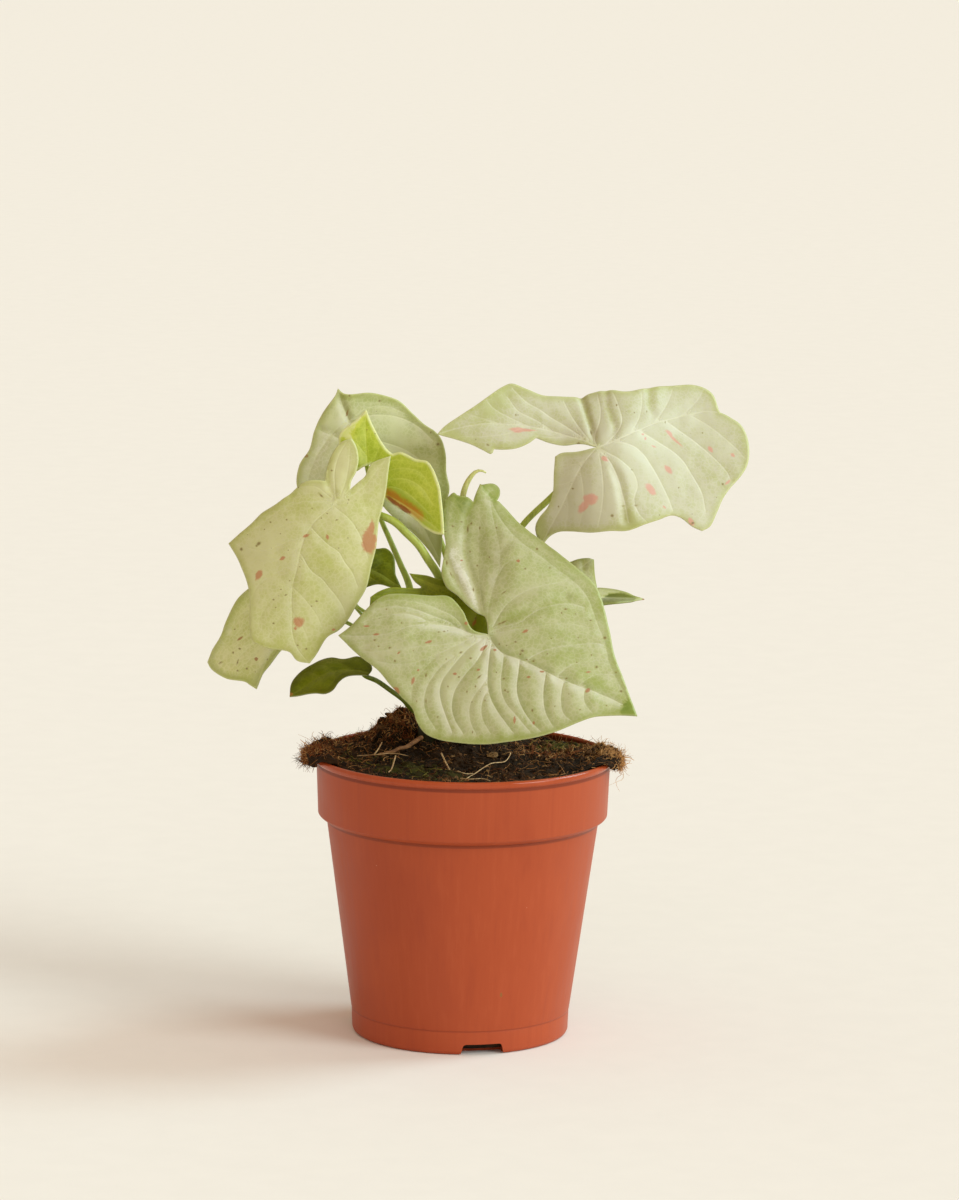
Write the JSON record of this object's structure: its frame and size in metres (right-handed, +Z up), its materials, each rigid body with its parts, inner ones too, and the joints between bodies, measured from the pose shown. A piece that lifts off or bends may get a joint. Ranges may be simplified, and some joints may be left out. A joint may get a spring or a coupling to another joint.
{
  "type": "potted arrowhead plant",
  "caption": "Young arrowhead plant with pale, flecked, arrow-shaped leaves on slender green stalks, growing in fibrous soil in a tapered plastic nursery pot.",
  "frame": {"origin": "centre of the pot's foot, on the surface that it stands on", "axes": "+Z up along the pot's axis, -Y to the front that the picture shows, +X to the picture's right"},
  "size_m": [0.2169, 0.1499, 0.261],
  "materials": {
    "pot_plastic": "terracotta-coloured moulded plastic, satin",
    "soil": "dark fibrous potting mix with brown and tan fibres",
    "dry_stalk": "dry brown leaf stalk",
    "stalk_green": "smooth fresh green stalk, satin",
    "leaf_pale": "pale milky green leaf with fine brown and pink flecks, satin",
    "leaf_cream": "cream-green leaf with pink patches, satin",
    "leaf_bright": "bright yellow-green young leaf with a rust streak, satin",
    "leaf_dark": "dark green leaf, satin"
  },
  "bodies": {
    "root": {"pot": "pot_plastic", "soil": "soil", "dead_stalk": "dry_stalk", "stem_front": "stalk_green", "stem_left": "stalk_green", "stem_right": "stalk_green", "leaf_front": "leaf_pale", "leaf_left": "leaf_pale", "leaf_young": "leaf_bright", "leaf_upper_left": "leaf_pale", "leaf_right": "leaf_cream", "leaf_low_left": "leaf_pale", "leaf_small": "leaf_dark", "leaf_mid": "leaf_dark", "leaf_tucked": "leaf_dark", "leaf_behind": "leaf_pale", "leaf_back_right": "leaf_pale", "leaf_back_left": "leaf_pale"}
  },
  "joints": []
}
